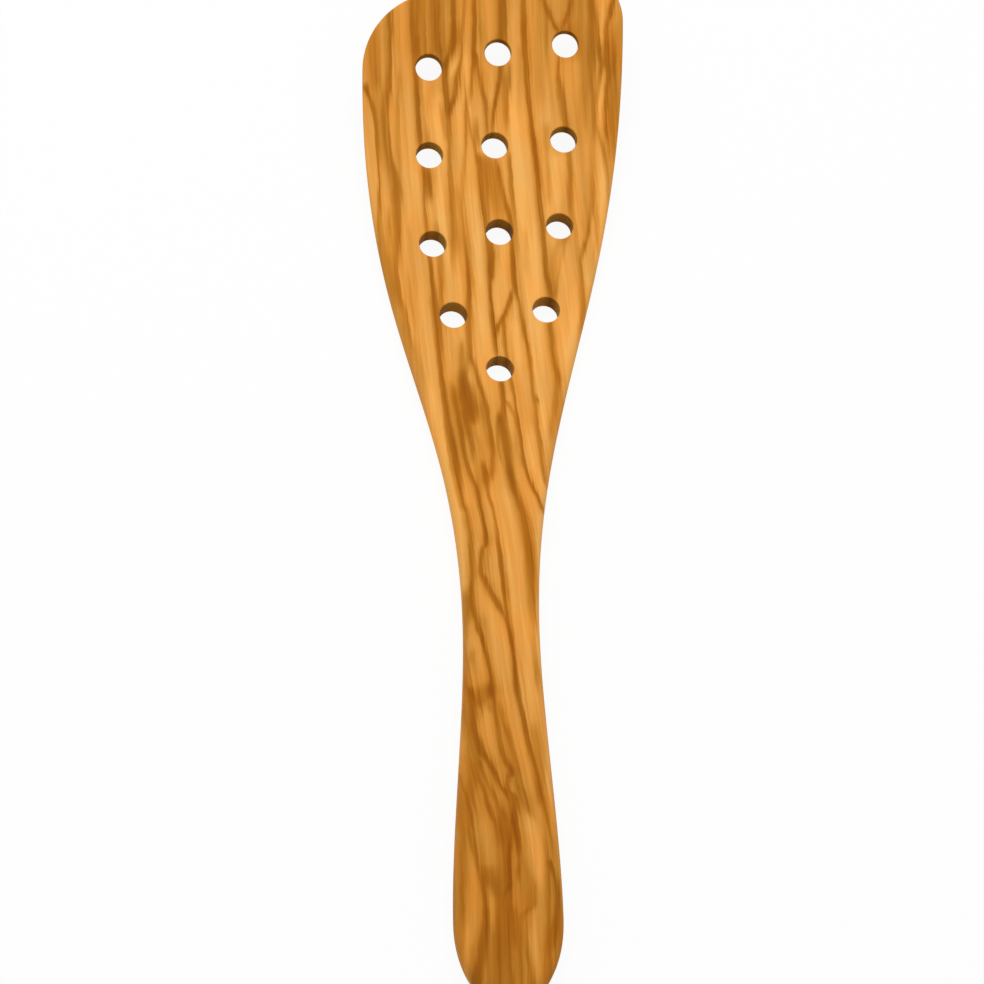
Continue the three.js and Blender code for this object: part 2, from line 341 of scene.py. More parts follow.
# Growth lines as they are seen from above, in millimetres: first the share of a line's reach on its
# left side, so that 0.5 is even and 0.8 is soft on the left and sharp on the right; then, from the tip
# down, y, x, darkness and reach
GROWTH_LINES = (
    # broad brown stretches of the blade, then pale ones
    (0.5, ((146, -36, 0, 5), (139, -36.3, 0.3, 6), (131, -36.3, 0.45, 6), (123, -36, 0.45, 6),
        (117, -35.8, 0.15, 6), (111, -35.4, 0, 5))),
    (0.5, ((82, -35, 0, 3), (74, -34.2, 0.35, 4), (66, -33, 0.45, 4.5), (58, -31.5, 0.35, 4.5),
        (50, -28.8, 0.25, 5), (42, -26.5, 0.35, 5), (34, -24.6, 0.3, 5), (26, -22.6, 0.15, 5),
        (18, -20.8, 0, 5))),
    (0.5, ((160, -19.5, 0.45, 17), (146, -19.5, 0.5, 17), (138, -19.3, 0.5, 17), (132, -19, 0.5, 15),
        (128, -20, 0.3, 12), (125, -20, 0, 10))),
    (0.5, ((142, -12, 0, 4), (138, -12, 0.4, 5), (135, -12, 0.5, 5), (132, -12.8, 0.35, 4),
        (130, -13, 0, 3))),
    (0.5, ((142, -3.8, 0, 3), (137, -3.7, 0.15, 3.4), (130, -3, -0.05, 3), (124, -1, -0.2, 2.6),
        (119, -0.8, -0.2, 2.2), (114, -1, 0, 2))),
    (0.5, ((160, 14.8, 0.25, 6), (140, 14.8, 0.3, 6), (130, 14.5, 0.2, 6), (122, 14.4, 0.2, 6),
        (112, 14.4, 0, 6))),
    (0.5, ((160, 25, 0.4, 13), (146, 25, 0.35, 13), (138, 26, 0.4, 12), (131, 28.2, 0.4, 7.5),
        (124, 28, 0.35, 6.5), (116, 26.8, 0.35, 6.5), (108, 26.6, 0.3, 6.5), (100, 27.2, 0.15, 6),
        (92, 27.5, 0.12, 5), (84, 27.2, 0.15, 4), (78, 27, 0.12, 4), (72, 26.8, 0, 3))),
    (0.5, ((143, 21, 0, 6), (140, 21.2, 0.3, 9), (137, 22, 0.35, 10), (132, 24, 0.2, 8), (128, 25, 0, 6))),
    (0.5, ((143, 35.4, 0, 3), (138, 35.5, 0.25, 5), (133, 35.8, 0.35, 5), (128, 35.6, 0.4, 4.6),
        (123, 35.2, 0.3, 4), (118, 35.2, 0.3, 4), (110, 35.2, 0.35, 4), (103, 35, 0.3, 3.6),
        (96, 34.6, 0, 3))),
    (0.5, ((160, -28.3, -0.1, 5), (140, -28.2, -0.05, 6), (127, -28, 0.08, 5), (118, -28, 0.02, 6),
        (110, -27.8, 0.05, 5), (96, -27.5, 0.05, 5), (80, -26, 0.1, 6), (60, -24.5, 0.05, 6),
        (50, -23, 0, 5))),
    (0.5, ((98, -23.6, 0, 2), (92, -23.4, -0.12, 3), (84, -23, -0.12, 3), (76, -22.6, -0.05, 3),
        (70, -22.4, 0, 3))),
    (0.5, ((160, -7.6, -0.2, 2.4), (140, -7.7, -0.2, 2.6), (125, -8, -0.15, 2.8), (115, -9.6, -0.1, 2.4),
        (106, -10.6, 0, 2))),
    (0.5, ((131, -11.2, 0, 2), (128.5, -11.5, -0.25, 2.4), (125.5, -12.4, -0.25, 2), (123, -13.2, 0, 2))),
    (0.5, ((121, -17.6, 0, 4), (116, -17.4, -0.2, 4.5), (110, -17.2, -0.25, 4.5), (104, -16.6, -0.2, 4),
        (98, -16.2, -0.1, 4), (90, -16.2, -0.1, 4), (80, -16, -0.1, 4), (70, -15.5, 0, 4))),
    (0.5, ((94, -5.6, 0, 2), (86, -5.8, -0.15, 3), (74, -5, -0.2, 3.6), (62, -4.8, -0.2, 3.8),
        (54, -4.6, -0.1, 4), (44, -4.4, -0.15, 4), (36, -4, -0.1, 3), (30, -3.4, 0, 3))),
    (0.5, ((150, 33.4, -0.3, 1.8), (142, 33, -0.35, 1.8), (137, 32.8, -0.3, 1.6), (133.5, 32.8, 0, 1.4))),
    (0.5, ((129, 33.2, 0, 1.4), (125, 32.8, -0.35, 1.7), (119, 32.4, -0.35, 1.8), (113, 32, -0.2, 1.8),
        (108, 31.4, 0, 1.6))),
    (0.5, ((150, 5.8, 0, 2), (140, 5.8, -0.15, 2.4), (128, 6, -0.1, 2.4), (120, 5.8, -0.25, 2.8),
        (112, 6.2, -0.35, 3.4), (104, 6.8, -0.3, 3.8), (96, 7.6, -0.25, 4), (88, 8, -0.2, 4),
        (78, 8.2, -0.08, 3), (73, 8.7, 0.15, 2.4), (66, 8.9, 0.2, 2.4), (58, 9.4, 0, 3))),
    (0.5, ((84, 11, 0, 2), (76, 11.2, -0.1, 3), (66, 11.4, -0.2, 4), (56, 11.6, -0.2, 4),
        (46, 11.8, -0.2, 3.6), (36, 12.4, -0.2, 3), (26, 12.8, -0.15, 2.6), (16, 13, -0.15, 2.4),
        (8, 13.2, 0, 2))),
    (0.5, ((50, 5, 0, 2), (44, 5.2, -0.15, 3), (36, 5.8, -0.15, 3), (28, 6.8, 0, 2))),
    (0.5, ((136, 7.6, 0, 2), (131, 7.8, 0.2, 2.2), (125, 7.8, 0.2, 2.2), (118, 7.8, 0.12, 2.2),
        (112, 8, 0, 2.2))),
    (0.5, ((112, 15.4, 0, 3), (108, 15.8, 0.3, 3.4), (104, 15.6, 0.3, 3.4), (100, 15.7, 0.2, 3),
        (94, 16.2, 0.25, 2.6), (88, 16.2, 0.25, 2.4), (83, 16.2, 0, 2))),
    (0.5, ((102, 18.6, 0, 3), (99, 18.8, -0.2, 4), (94, 18.8, -0.15, 4.4), (86, 19, -0.12, 4.4),
        (82, 19, 0, 4))),
    (0.5, ((100, 32.6, 0, 2), (92, 33, -0.2, 3), (84, 32.4, -0.2, 3), (78, 31.8, -0.2, 2.6),
        (70, 30.6, -0.3, 3), (62, 28.6, -0.25, 3), (54, 27, 0, 3))),
    (0.5, ((66, 27.2, 0, 2), (56, 23, -0.05, 4), (46, 22.6, -0.2, 5), (36, 21.6, -0.25, 6),
        (26, 20.6, -0.2, 5), (18, 19, 0, 4))),
    (0.5, ((88, 30.2, 0, 2), (83, 30.2, 0.2, 2.2), (78, 30.1, 0.25, 2.2), (73, 30, 0.2, 2.2),
        (66, 29.2, 0.15, 2.2), (60, 28.2, 0, 2.2))),
    # lines of the blade, from its left side to its right
    (0.3, ((122, -39.3, 0, 2.5), (119, -38.4, 0.7, 2.5), (115, -37, 0.7, 2.5), (111, -36, 0.65, 2.2),
        (106, -35.5, 0.6, 2), (100, -35, 0.6, 2), (94, -34.6, 0.6, 1.8), (86, -34.5, 0.6, 1.8),
        (79, -34.6, 0.5, 1.8), (74, -34.5, 0.3, 1.8), (69, -34, 0, 1.8))),
    (0.7, ((160, -31.6, 0.55, 3), (137, -31, 0.65, 2.8), (130, -30.9, 0.65, 2.8), (125, -30.9, 0.6, 3.2),
        (121, -31.3, 0.55, 3.6), (116, -32, 0.65, 4), (110, -32.2, 0.65, 4.2), (104, -31.9, 0.65, 4.4),
        (100, -31.4, 0.65, 4.8), (96, -30.5, 0.65, 5.6), (92, -29.4, 0.62, 6.2), (87, -28.7, 0.6, 6),
        (82, -28.7, 0.55, 5), (76, -28.9, 0.52, 4.2), (70, -29.1, 0.58, 3.6), (64, -29.1, 0.62, 3.2),
        (57, -28.7, 0.62, 3.2), (52, -27.9, 0.5, 3), (47, -26.6, 0.4, 2.5), (40, -25.4, 0.3, 2),
        (34, -24.2, 0, 2))),
    (0.5, ((128, -28.2, 0, 2), (122, -28.5, 0.3, 2.4), (115, -28.8, 0.35, 2.4), (108, -29, 0.35, 2.4),
        (100, -28.7, 0.35, 2.4), (94, -28, 0.2, 2), (90, -27.6, 0, 2))),
    (0.5, ((84, -31.4, 0, 2), (80, -31.5, 0.25, 2.2), (76, -31.4, 0.35, 2.2), (72, -31.2, 0.2, 2.2),
        (68, -31, 0, 2))),
    (0.5, ((80, -25.6, 0, 3), (72, -25.6, 0.15, 3), (64, -25.8, 0.15, 3), (58, -25.6, 0.25, 3),
        (52, -25.2, 0.3, 3), (46, -24.4, 0.2, 3), (40, -23.4, 0, 3))),
    (0.4, ((160, -24.6, 0.4, 4), (146, -24.6, 0.45, 4), (138, -24.5, 0.6, 4), (132, -24.1, 0.6, 3.6),
        (127, -23.9, 0.2, 3), (125, -23.8, 0, 3))),
    (0.5, ((137, -23, 0, 2.4), (134, -23, 0.4, 2.8), (131, -22.8, 0.4, 2.6), (128, -23.2, 0, 2))),
    (0.5, ((160, -19.6, -0.32, 2.4), (146, -19.6, -0.32, 2.4), (136, -19.5, -0.36, 2.4),
        (131, -19.4, -0.25, 2.2), (128, -19.4, 0, 2))),
    (0.5, ((135, -16.3, 0, 2), (131, -15.9, 0.4, 2.4), (128, -15.4, 0.35, 2.2), (125, -15, 0, 2))),
    (0.5, ((122, -20, 0, 3), (116, -20.2, 0.18, 3), (109, -20.4, 0.2, 2.6), (106, -20.3, 0.35, 2.6),
        (103, -20, 0.4, 3), (100, -20, 0, 3))),
    (0.5, ((118, -16.4, 0, 2), (114, -15.8, 0.3, 2), (110, -15.2, 0.4, 2), (106, -14.8, 0.3, 2),
        (102, -14.5, 0, 2))),
    (0.5, ((130, -23.8, 0, 3), (126, -23.6, 0.6, 3), (122, -23.3, 0.75, 3), (118, -23, 0.8, 2.8),
        (114, -22.8, 0.75, 2.6), (109, -22.6, 0.75, 2.4), (104, -22.4, 0.7, 2.3), (101, -22.1, 0.6, 2.2),
        (97, -21.6, 0.4, 2.2), (94, -21.3, 0.6, 2.2), (88, -21.1, 0.7, 1.9), (82, -20.8, 0.6, 1.8),
        (76, -20.3, 0.6, 2), (70, -19.9, 0.5, 2), (66, -19.6, 0.65, 2.1), (61, -19.2, 0.75, 2.3),
        (56, -18.8, 0.75, 2.5), (51, -18.3, 0.75, 3.4), (46, -17.8, 0.75, 3.7), (40, -17.4, 0.75, 3.5),
        (34, -17.1, 0.7, 3.1), (28, -16.7, 0.7, 3.1), (22, -16.2, 0.7, 3.2), (16, -15.6, 0.7, 3.3),
        (10, -14.9, 0.75, 3.6), (5, -14, 0.8, 4.2), (0, -13.3, 0.8, 4.2), (-5, -12.6, 0.8, 3.8),
        (-10, -11.9, 0.75, 3.1), (-13, -11.4, 0.6, 2.9), (-16, -11, 0, 2.6))),
    (0.5, ((97, -19.6, 0, 4), (94.5, -19.9, 0.5, 4.2), (91, -19.6, 0.7, 3.8), (87, -19.4, 0.6, 3.2),
        (82, -19.2, 0, 2.6))),
    (0.5, ((80, -17.8, 0, 2), (75, -17.6, 0.3, 3), (70, -16.8, 0.3, 3), (62, -16.6, 0.45, 2.6),
        (57, -16.4, 0.55, 2.8), (52, -16.4, 0.5, 2.4), (44, -15.6, 0.2, 2.2), (36, -14.6, 0.12, 2),
        (28, -13.6, 0.15, 2), (22, -13, 0, 2))),
    (0.6, ((160, -17.4, 0.35, 3), (146, -17.3, 0.4, 3), (136, -17, 0.45, 3), (131, -16.5, 0.4, 2.5),
        (128, -16, 0, 2))),
    (0.4, ((160, -12.6, 0.5, 2.8), (146, -12.4, 0.55, 3), (140, -12.3, 0.6, 2.8), (137, -12.2, 0.6, 3),
        (134, -12.6, 0.7, 3.4), (131.5, -13.1, 0.85, 3.4), (129, -14, 0.85, 3.4), (126, -14.8, 0.75, 2.8),
        (122, -15, 0.7, 2.8), (118, -14.7, 0.7, 2.6), (114, -14.2, 0.65, 2.4), (110, -13.8, 0.55, 2.4),
        (104, -13.6, 0.55, 2.6), (98, -13.4, 0.6, 2.6), (91, -13.3, 0.6, 2.8), (85, -13.1, 0.6, 3),
        (78, -12.9, 0.55, 3), (72, -12.7, 0.5, 3), (66, -12.8, 0.25, 2.6), (61, -13, 0.08, 2.4),
        (57, -13.2, 0, 2))),
    (0.5, ((92, -11.6, 0, 3), (86, -11.2, 0.25, 3), (78, -10.8, 0.2, 3), (72, -10.4, 0.2, 3),
        (66, -10, 0, 3))),
    (0.5, ((160, -8.7, 0.4, 2), (146, -8.8, 0.45, 2), (140, -9.3, 0.5, 1.8), (136, -9.5, 0.55, 1.7),
        (132, -9.5, 0.6, 1.7), (128, -10, 0.6, 1.9), (124.5, -10.8, 0.7, 2.5), (121, -11.2, 0.75, 3.2),
        (117.5, -11.8, 0.75, 3.2), (114.5, -12.9, 0.75, 2.8), (112, -13.2, 0.4, 2.4), (110, -13.5, 0, 2))),
    (0.5, ((128, -8.6, 0, 1.4), (122, -8.6, 0.35, 1.4), (114, -8.4, 0.5, 1.6), (106, -8.4, 0.55, 1.7),
        (100, -8.8, 0.35, 2), (92, -9.5, 0.35, 2), (84, -9.6, 0.35, 2), (76, -9.1, 0.4, 2.4),
        (69, -8.5, 0.55, 3), (63, -8.2, 0.65, 3.2), (57, -8, 0.7, 3.2), (51, -8.2, 0.7, 3),
        (46, -8.2, 0.7, 3.4), (41, -8.1, 0.65, 3.6), (36, -8.3, 0.6, 3.6), (31, -9.2, 0.4, 3),
        (26, -10.2, 0.4, 3), (20, -10.2, 0, 3))),
    (0.5, ((160, -5.8, 0.7, 3), (146, -5.8, 0.75, 3), (139, -5.6, 0.8, 2.8), (133, -5.9, 0.7, 2.6),
        (129, -6.1, 0.6, 2.4), (125, -6.5, 0.5, 2), (119, -7, 0.4, 1.8), (113, -7.6, 0, 1.6))),
    (0.5, ((132.5, -5.6, 0, 2), (130, -5.1, 0.6, 2.3), (126, -4.6, 0.6, 2.4), (121, -3.8, 0.55, 2.2),
        (116, -2.6, 0.6, 2.4), (111, -2.2, 0.6, 2), (107, -2.1, 0.5, 2), (103, -2.2, 0, 2))),
    (0.5, ((119, -8.6, 0, 1.4), (115, -8.2, 0.35, 1.4), (111, -7.6, 0.4, 1.4), (107, -6.9, 0.45, 1.6),
        (103, -6, 0.5, 1.8), (99, -5.2, 0.4, 2), (95, -5, 0, 2))),
    (0.5, ((113, -5.3, 0, 2.5), (110, -5.2, 0.3, 3), (107, -5.1, 0.5, 3.4), (104, -4.9, 0.4, 3.2),
        (101, -4.8, 0, 3))),
    (0.2, ((101, -5, 0, 5), (98, -4.7, 0.6, 5), (92, -4.5, 0.65, 5), (86, -4.1, 0.7, 4.6),
        (81, -3.7, 0.7, 4), (77, -3.3, 0.65, 3.4), (73, -2.8, 0.5, 3), (69, -2.3, 0, 2.6))),
    (0.5, ((102, -0.6, 0, 6), (97, -0.4, 0.5, 6.4), (90, -0.2, 0.52, 6.4), (84, 0.5, 0.48, 6),
        (79, 1.2, 0.35, 6), (75, 1.4, 0, 6))),
    (0.5, ((160, 2.6, 0.7, 5), (146, 2.6, 0.75, 5), (140, 2.7, 0.75, 5), (136, 2.6, 0.7, 5),
        (131, 2.4, 0.5, 3.4), (127, 2.1, 0.6, 2.2), (123, 1.7, 0.65, 2), (118, 0.8, 0.7, 1.8),
        (113, -0.1, 0.7, 1.9), (108, -0.4, 0.55, 1.9), (103, -0.4, 0, 2))),
    (0.5, ((127, 3, 0, 2.4), (123, 3.2, 0.35, 2.6), (117, 3.2, 0.3, 2.4), (111, 3.2, 0.25, 2.4),
        (105, 3.8, 0, 2.4))),
    (0.5, ((104, 4.1, 0, 1.8), (99, 4.4, 0.5, 2), (94, 4.7, 0.6, 2), (88, 5, 0.6, 2), (82, 5.6, 0.5, 2),
        (76, 6, 0.4, 2), (70, 6.4, 0.3, 2), (64, 6.6, 0, 1.8))),
    (0.6, ((99, 1.2, 0, 2), (95, 1.6, 0.65, 2.2), (90, 2.2, 0.7, 2.4), (86, 2.9, 0.7, 2.4),
        (82, 3.8, 0.7, 2.6), (78, 4.6, 0.7, 2.4), (73, 4.8, 0.7, 2.4), (68, 5.1, 0.8, 2.6),
        (63, 5.2, 0.85, 3), (59, 5.5, 0.85, 3), (56, 6, 0.75, 2.4), (52, 6.8, 0.65, 2), (47, 7.4, 0.6, 2),
        (42, 8.1, 0.6, 2), (37, 8.9, 0.6, 1.8), (31, 9.5, 0.6, 1.8), (25, 9.9, 0.6, 1.9),
        (19, 10.4, 0.6, 2.1), (12, 10.9, 0.65, 2), (5, 11.5, 0.65, 2), (0, 11.9, 0.6, 2),
        (-5, 12.6, 0.6, 1.8), (-8, 13.2, 0, 1.5))),
    (0.5, ((23, 10.6, 0, 1), (21.2, 11, 0.6, 1.8), (20.4, 11.2, 0.6, 1.8), (19, 11.4, 0, 1))),
    (0.4, ((59, 5, 0, 2), (56, 4.4, 0.6, 2.4), (53, 3.7, 0.7, 2.4), (50.5, 2.9, 0.7, 2.4),
        (48.3, 2, 0.75, 2.8), (46.3, 1, 0.75, 3), (44.5, 0.1, 0.7, 3), (42.5, -0.4, 0.5, 2.6),
        (40, -0.7, 0, 2))),
    (0.6, ((75, -1.6, 0, 2.5), (71, -1.2, 0.65, 3.8), (67, -1.1, 0.8, 4), (62, -1.4, 0.8, 3.6),
        (57, -1.8, 0.7, 2), (52, -1.7, 0.7, 1.8), (47, -1.4, 0.75, 1.9), (42, -1, 0.75, 1.9),
        (37, -0.6, 0.6, 1.9), (33, -0.1, 0.3, 1.9), (29, 0.5, 0.55, 2.4), (25, 1.1, 0.8, 3.1),
        (21, 1.3, 0.75, 3.1), (17, 1, 0.7, 3), (13, 0.9, 0.7, 3.4), (9, 1.3, 0.7, 3.8), (5, 1.8, 0.7, 3.8),
        (1, 2.2, 0.75, 3.8), (-3, 2.6, 0.85, 4.2), (-6, 3.3, 0.85, 4.3), (-9, 4, 0.8, 4.3),
        (-12, 4.9, 0.78, 4.3), (-16, 5.9, 0.78, 4.6), (-20, 6.5, 0.78, 4.8), (-24, 6.9, 0.8, 4.8),
        (-28, 7.1, 0.8, 4.8), (-32, 7.2, 0.75, 4.8), (-36, 7.2, 0.7, 4.6), (-42, 7.3, 0.6, 4),
        (-48, 7.6, 0.4, 3), (-53, 8, 0.15, 2.4), (-58, 7.8, 0.15, 2.4), (-65, 8, 0.35, 2.4),
        (-72, 8.4, 0, 2.4))),
    (0.5, ((18, -0.4, 0, 1.6), (14.5, -0.5, 0.6, 2.4), (11, -0.8, 0.5, 2), (7, -0.8, 0.5, 1.8),
        (2, -0.4, 0.4, 1.8), (-3, 0.4, 0, 1.6))),
    (0.6, ((48, 2.4, 0, 1.8), (45, 2.1, 0.55, 1.9), (41, 2.1, 0.6, 1.9), (37, 2.4, 0.6, 1.9),
        (33, 2.9, 0.5, 1.9), (28, 3.5, 0.55, 2), (24, 4.1, 0.6, 2), (20, 4.7, 0.6, 2), (16, 5.2, 0.65, 2.2),
        (11, 5.6, 0.7, 2.3), (6, 6, 0.7, 2.4), (1, 6.3, 0.75, 2.4), (-3, 7.2, 0.75, 2.2),
        (-7, 8.5, 0.7, 2.2), (-10, 9.9, 0.7, 2), (-13, 11, 0.7, 2), (-16, 12, 0, 2))),
    (0.5, ((21.3, 1.4, 0, 1.6), (20.3, 2.2, 0.5, 1.8), (18.5, 3, 0.5, 1.9), (16, 3.9, 0.45, 2),
        (12, 4.4, 0.3, 2), (6, 4.4, 0.25, 2), (0, 4.8, 0, 2))),
    (0.5, ((160, 9, 0.7, 2.8), (146, 8.8, 0.62, 2.6), (138, 8.9, 0.68, 2.6), (133, 9.2, 0.65, 2.6),
        (128, 9.6, 0.65, 2.5), (123, 9.9, 0.7, 2.6), (117, 10.5, 0.7, 2.6), (111, 11.1, 0.7, 2.7),
        (105, 11.8, 0.75, 3.2), (99, 12.4, 0.75, 3.4), (92, 12.9, 0.7, 3.2), (86, 13.2, 0.7, 2.9),
        (80, 13.6, 0.7, 2.6), (74, 14, 0.65, 2.6), (68, 14.4, 0.65, 2.6), (62, 14.8, 0.7, 2.8),
        (58, 15.5, 0.7, 3), (54, 16, 0.5, 3), (50, 15.6, 0.3, 2.4), (46, 15.6, 0.65, 2.8),
        (42, 16, 0.7, 3.2), (37, 16.3, 0.7, 3.1), (33, 16.6, 0.7, 3), (28.5, 17.1, 0.65, 3.2),
        (23, 16.7, 0.45, 3.4), (17, 15.7, 0.4, 3.2), (11, 15, 0.35, 2.8), (5, 14.8, 0, 2))),
    (0.6, ((131, 4.8, 0, 1.6), (127, 4.7, 0.45, 1.8), (123, 4.6, 0.5, 1.8), (118, 4.2, 0.4, 1.8),
        (112, 4.1, 0.4, 1.6), (106, 4.2, 0, 1.6))),
    (0.6, ((152, 13.5, 0.4, 3), (147, 15.8, 0.5, 3), (143, 17.4, 0.6, 2.6), (140, 18.9, 0.6, 2.2),
        (137.5, 20, 0, 2))),
    (0.4, ((152, 24, 0.3, 2), (146, 22.7, 0.5, 2.2), (142.5, 21.7, 0.55, 2.2), (139.5, 20.6, 0, 2))),
    (0.5, ((133, 19.8, 0, 2), (130, 19.7, 0.6, 2), (126, 19.6, 0.65, 2.2), (122, 20, 0.65, 3.2),
        (118, 20.5, 0.6, 4.2), (114, 21, 0.6, 4.2), (110, 21.6, 0.6, 3.8), (105, 22, 0.5, 3),
        (101, 22.3, 0.5, 3), (96, 22.6, 0.6, 3), (90, 22.6, 0.65, 3.2), (85, 22.6, 0.6, 3.2),
        (81, 23, 0.45, 3), (76, 23.9, 0.35, 2.8), (70, 24.4, 0.35, 2.6), (64, 24.8, 0.3, 2.4),
        (58, 25, 0.3, 2.2), (52, 25.2, 0.35, 2.2), (47, 25, 0.35, 2), (42, 24.2, 0.15, 2),
        (38, 23.4, 0, 2))),
    (0.6, ((160, 29.2, 0.5, 3), (146, 29.6, 0.5, 3), (138, 30, 0.5, 3), (131, 30.2, 0.45, 3),
        (124, 30.1, 0.4, 2.8), (117, 30.2, 0.45, 2.8), (110, 30.2, 0.45, 2.8), (103, 29.8, 0.3, 2.8),
        (96, 29.6, 0.4, 2.8), (90, 29.5, 0.5, 2.8), (85, 29.2, 0.5, 2.6), (80, 28.6, 0.5, 2.4),
        (75, 27.6, 0.5, 2.2), (70, 26.2, 0.55, 2), (66, 25.6, 0.55, 1.8), (62, 25.8, 0.5, 1.9),
        (57, 26, 0.35, 2), (52, 26.2, 0.2, 2), (46, 26, 0, 2))),
    (0.5, ((150, 30.4, 0, 2.4), (145, 30.9, 0.5, 2.4), (141, 31.3, 0.6, 2.2), (137, 31.5, 0.65, 2.4),
        (133, 32, 0.75, 2.8), (129, 32.6, 0.7, 2.6), (125, 32.1, 0.5, 1.8), (121, 31.6, 0.35, 1.8),
        (117, 31, 0.2, 2), (112, 31.2, 0.2, 2), (107, 31.9, 0.45, 2), (103, 32.8, 0.55, 2),
        (99, 33.6, 0.5, 2), (94, 34, 0.4, 2), (88, 34, 0.25, 2), (82, 33.4, 0, 2))),
    (0.5, ((160, 38, 0.4, 2.4), (150, 36.6, 0.55, 2.4), (145.5, 35.5, 0.7, 2.6), (141, 34.5, 0.55, 2.2),
        (138, 34.2, 0.5, 2.2), (134.5, 34.2, 0.65, 2.6), (130, 34.3, 0.6, 2.8), (125, 34.6, 0.45, 2.2),
        (120, 33.9, 0.5, 1.9), (117, 33.8, 0.65, 2), (112, 33.9, 0.65, 2), (107, 33.9, 0.5, 1.8),
        (103, 34, 0, 1.8))),
    (0.5, ((148, 38.6, 0, 4), (140, 38.4, 0.3, 4), (128, 37.6, 0.35, 5), (115, 36.8, 0.35, 5),
        (104, 35.8, 0.25, 5), (92, 34.6, 0, 4))),
    (0.6, ((79, 21.8, 0, 2.5), (77, 21.2, 0.2, 3), (73, 19.8, 0.35, 4), (69, 18.2, 0.28, 4.4),
        (65, 17.4, 0.28, 4.4), (61, 16.9, 0.32, 4.4), (57, 16.6, 0.35, 4.2), (54, 16.5, 0.3, 4),
        (51, 16.4, 0, 3))),
    (0.5, ((79, 22.2, 0, 1.6), (75, 21.4, 0.4, 1.8), (70, 20.4, 0.25, 1.8), (65, 19.2, 0.2, 1.8),
        (61, 18.4, 0.35, 1.8), (57, 17.8, 0.4, 1.8), (53, 17.2, 0, 1.8))),
    # root of the blade and neck: brown and pale stretches, then lines
    (0.5, ((30, -6, 0, 3), (24, -5.2, 0.15, 3), (18, -4.8, 0.2, 3.4), (10, -4.8, 0.25, 4.6),
        (5, -5.4, 0.25, 7), (0, -6, 0.3, 7), (-4, -6, 0.3, 6), (-8, -6.6, 0.2, 5), (-12, -7.4, 0, 4))),
    (0.5, ((13, -9.2, 0, 3), (10, -8.6, 0.5, 3.6), (6, -8.3, 0.55, 3.4), (2, -8.6, 0.35, 3),
        (-2, -9, 0, 3))),
    (0.5, ((-21, -4, 0, 2), (-26, -4.6, 0.3, 3), (-32, -5.2, 0.35, 3), (-37, -4.4, 0.25, 2.6),
        (-42, -2.8, 0, 2))),
    (0.5, ((30, -20, 0, 3), (22, -19.4, -0.12, 3.6), (12, -17.8, -0.2, 4), (4, -16.8, -0.4, 4.2),
        (-6, -15.2, -0.45, 4.4), (-16, -13.6, -0.46, 4.4), (-26, -12.8, -0.45, 4.4), (-36, -12.2, -0.32, 4),
        (-46, -12, -0.15, 3.4), (-54, -12, 0, 3))),
    # A pale stretch along the right edge of the neck and grip: partly paler wood and partly painted light on
    # the side that the soft box on the left leaves darker
    (0.5, ((16, 8.6, 0, 3), (8, 9.2, -0.2, 4), (0, 9.8, -0.2, 4), (-6, 11.6, -0.4, 4),
        (-12, 11.4, -0.45, 3.6), (-18, 10.8, -0.4, 3), (-26, 10.2, -0.35, 2.8), (-36, 9.8, -0.25, 2.6),
        (-46, 9.2, -0.3, 2.6), (-56, 9, -0.35, 2.8), (-64, 9.6, -0.15, 2.4), (-76, 10.2, -0.2, 2.8),
        (-86, 10.8, -0.3, 2.8), (-95, 10.6, -0.4, 3), (-104, 11.2, -0.48, 3), (-112, 11.6, -0.45, 3),
        (-118, 12.2, -0.35, 2.8), (-126, 12.8, -0.15, 2.4), (-132, 13.4, 0, 2))),
    (0.5, ((-6, -0.6, 0, 4), (-12, 1, -0.12, 5), (-20, 2, -0.12, 6), (-30, 3, -0.15, 6),
        (-40, 3.8, -0.1, 5), (-50, 4.2, -0.06, 5), (-60, 5, -0.08, 5), (-70, 6, -0.2, 5), (-78, 7, -0.1, 4),
        (-84, 8, 0, 4))),
    (0.5, ((42, -10.4, 0, 2), (37, -10.6, 0.5, 2.8), (32, -10.6, 0.45, 3.2), (28.5, -10.6, 0.65, 4.4),
        (25, -10.1, 0.8, 6.8), (21, -9.6, 0.85, 8.8), (17.5, -8.9, 0.85, 9.4), (14.5, -9, 0.8, 8.6),
        (11.5, -9.9, 0.6, 6.8), (8, -10.5, 0.4, 5), (3, -10.4, 0, 4))),
    (0.4, ((-11, -11.7, 0, 2.6), (-15, -10.8, 0.7, 3.2), (-20, -10.1, 0.7, 3.4), (-25, -9.7, 0.7, 3.3),
        (-30, -9.7, 0.7, 2.9), (-35, -9.7, 0.7, 2.7), (-40, -9.9, 0.75, 2.6), (-44, -9.8, 0.75, 3),
        (-47, -9.4, 0.75, 3.2), (-51, -8.5, 0.75, 2.8), (-55, -7.3, 0.75, 2.6), (-59, -6.3, 0.75, 2.6),
        (-63, -5.5, 0.75, 2.6), (-67, -4.9, 0.8, 3), (-70, -4.8, 0.85, 4), (-73, -4.3, 0.7, 2.8),
        (-76, -4, 0.6, 2.4), (-80, -3.7, 0.6, 2.2), (-84, -3.2, 0.6, 2.4), (-88, -2.5, 0.65, 2.8),
        (-91, -1.5, 0.75, 3), (-94, -0.3, 0.8, 3.2), (-96.5, -0.9, 0.6, 2), (-99, -0.8, 0.6, 2.2),
        (-101, 0.5, 0.75, 3), (-104, 0.7, 0.75, 3.4), (-108, 0.4, 0.8, 3.6), (-112, 0.9, 0.78, 3.4),
        (-116, 1.6, 0.6, 2.8), (-119, 1.7, 0.25, 2), (-122.5, 1.1, 0.4, 1.6), (-126, 1.2, 0, 1.6))),
    (0.6, ((28, -13.7, 0, 2), (24, -13.2, 0.5, 2.6), (20, -12.7, 0.65, 2.9), (15, -12, 0.65, 2.8),
        (10, -11.4, 0.7, 2.6), (5, -10.9, 0.75, 2.4), (1, -10.3, 0.75, 2.4), (-3, -9.2, 0.75, 2.5),
